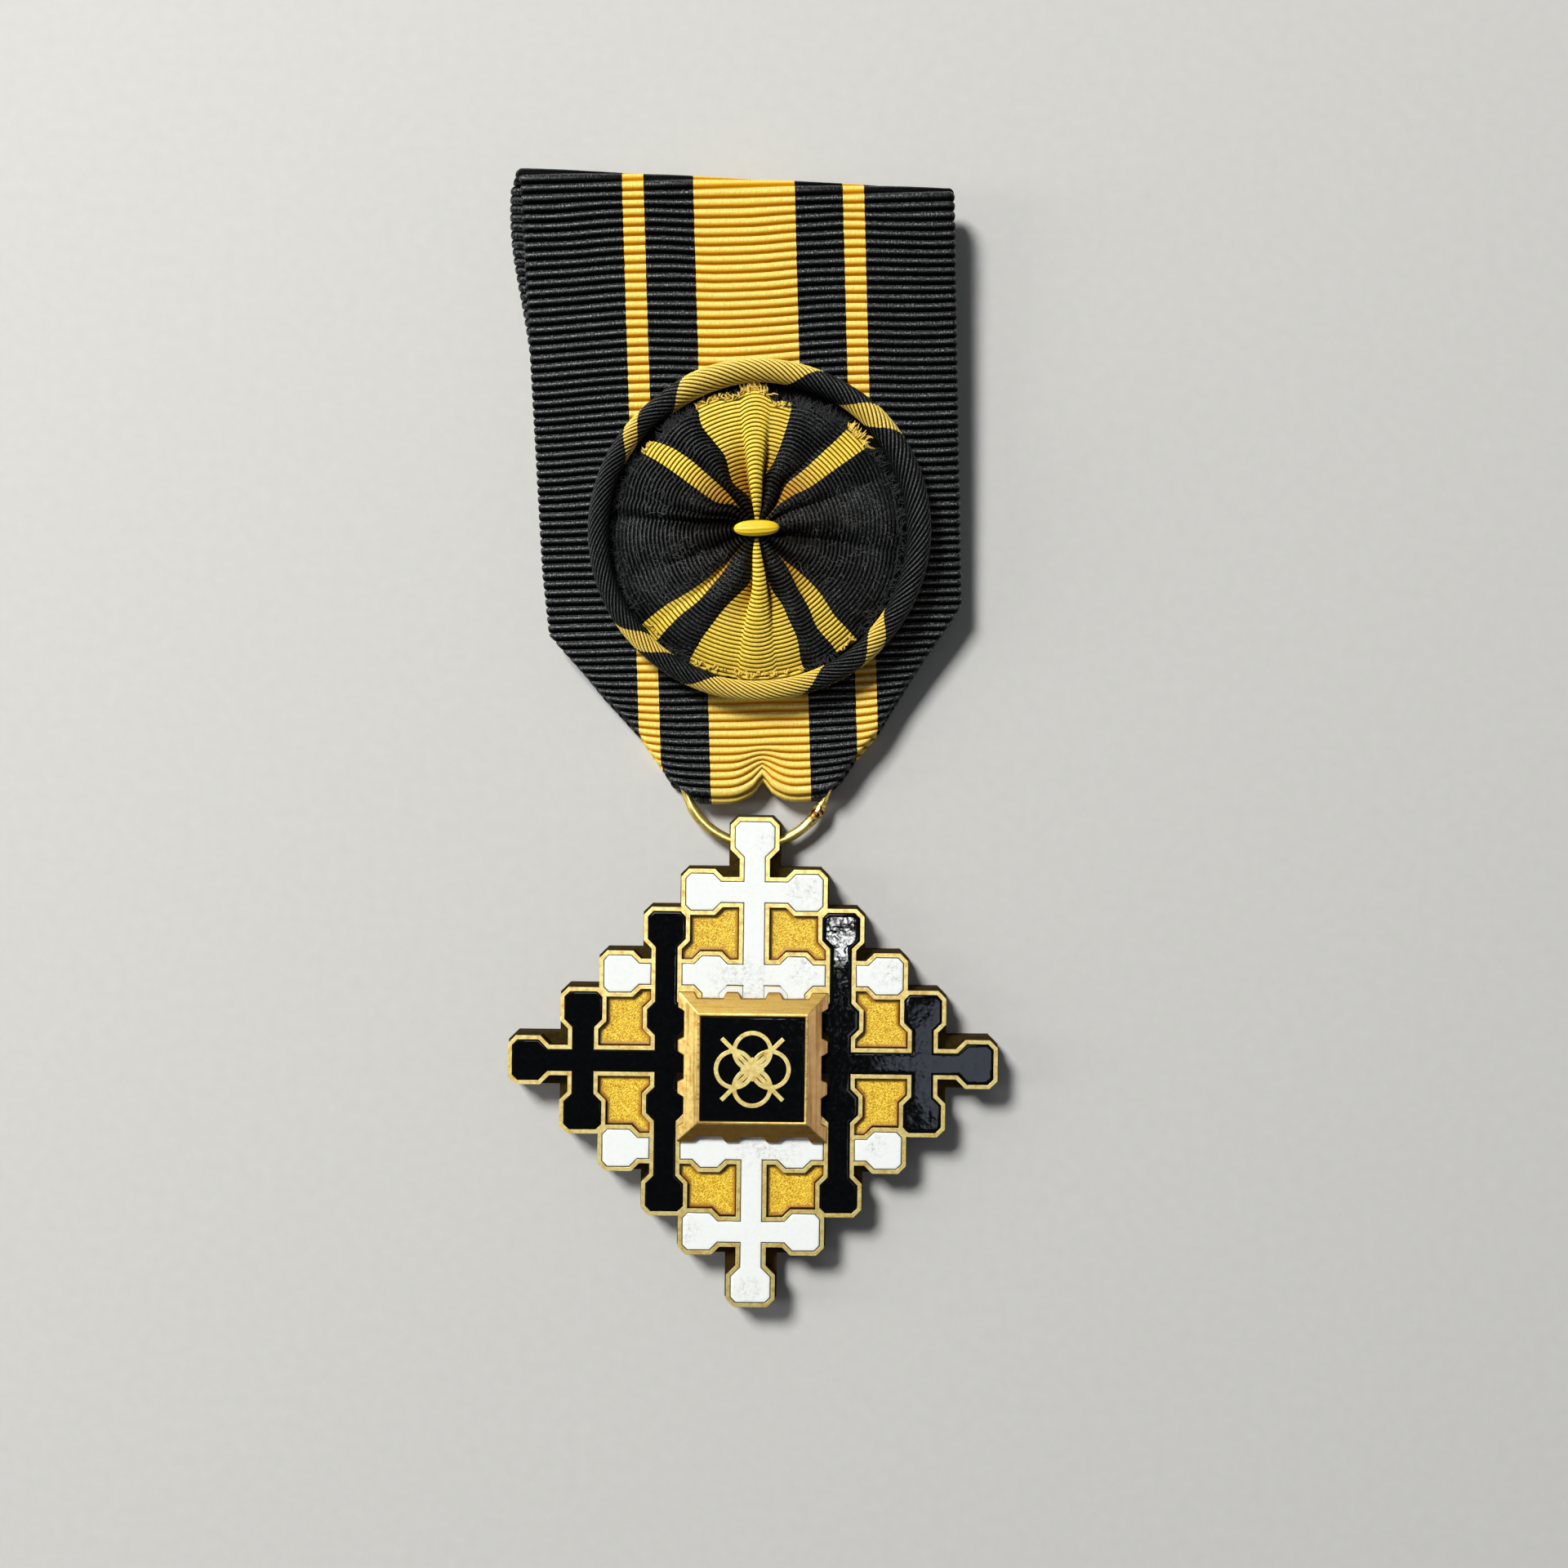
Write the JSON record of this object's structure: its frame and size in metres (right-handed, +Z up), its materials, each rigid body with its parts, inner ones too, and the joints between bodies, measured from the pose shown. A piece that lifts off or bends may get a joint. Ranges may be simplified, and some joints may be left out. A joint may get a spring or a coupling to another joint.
{
  "type": "officer cross medal",
  "caption": "Gilt and enamelled cross of knobbed bars, hung by a ring from a folded striped ribbon with a pleated rosette, lying face up.",
  "frame": {"origin": "middle of the cross's back face, on the surface that the medal lies on", "axes": "+Z up out of the face, +Y from the cross to the ribbon's top, +X to the right of the face"},
  "size_m": [0.0441, 0.1009, 0.0072],
  "materials": {
    "gilt": "worn satin gilt",
    "white_enamel": "glossy fired enamel",
    "black_enamel": "glossy fired enamel",
    "amber_enamel": "translucent fired enamel",
    "ribbon_silk": "ribbed silk with yellow stripes",
    "rosette_silk": "pleated ribbed silk, black and yellow",
    "rim_silk": "rolled ribbed silk, black and yellow",
    "yellow_thread": "satin thread",
    "pin_brass": "plain drawn brass"
  },
  "bodies": {
    "root": {"cross_body": "gilt", "centre_plate": "gilt", "centre_sprig": "gilt", "ring": "gilt", "white_enamel_top": "white_enamel", "white_enamel_bottom": "white_enamel", "white_knob_enamel_1": "white_enamel", "white_knob_enamel_2": "white_enamel", "white_knob_enamel_3": "white_enamel", "white_knob_enamel_4": "white_enamel", "black_enamel_left": "black_enamel", "black_enamel_right": "black_enamel", "centre_enamel": "black_enamel", "amber_enamel_1": "amber_enamel", "amber_enamel_2": "amber_enamel", "amber_enamel_3": "amber_enamel", "amber_enamel_4": "amber_enamel", "amber_enamel_5": "amber_enamel", "amber_enamel_6": "amber_enamel", "amber_enamel_7": "amber_enamel", "amber_enamel_8": "amber_enamel", "ribbon": "ribbon_silk", "rosette_face": "rosette_silk", "rosette_rim": "rim_silk", "rosette_knot": "yellow_thread", "brooch_pin": "pin_brass"}
  },
  "joints": []
}
